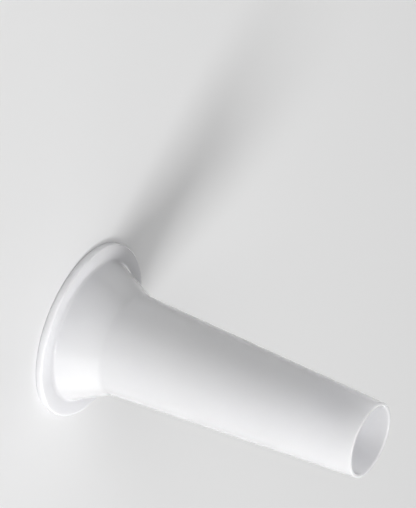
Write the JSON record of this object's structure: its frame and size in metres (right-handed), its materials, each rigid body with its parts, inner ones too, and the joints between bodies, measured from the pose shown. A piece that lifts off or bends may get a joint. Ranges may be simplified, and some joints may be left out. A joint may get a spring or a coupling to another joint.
{
  "type": "sausage stuffing tube",
  "caption": "One-piece moulded plastic stuffing funnel: a flat round flange with a short cone opens into a long tapered tube with a rounded outlet lip.",
  "frame": {"origin": "centre of the flange's back face, which seats in the grinder's mouth", "axes": "+Z along the tube's axis, from the flange towards the outlet; the piece stands on its flange"},
  "size_m": [0.061, 0.061, 0.1106],
  "materials": {
    "white_plastic": "glossy injection-moulded white polypropylene"
  },
  "bodies": {
    "root": {"stuffing_tube": "white_plastic"}
  },
  "joints": []
}
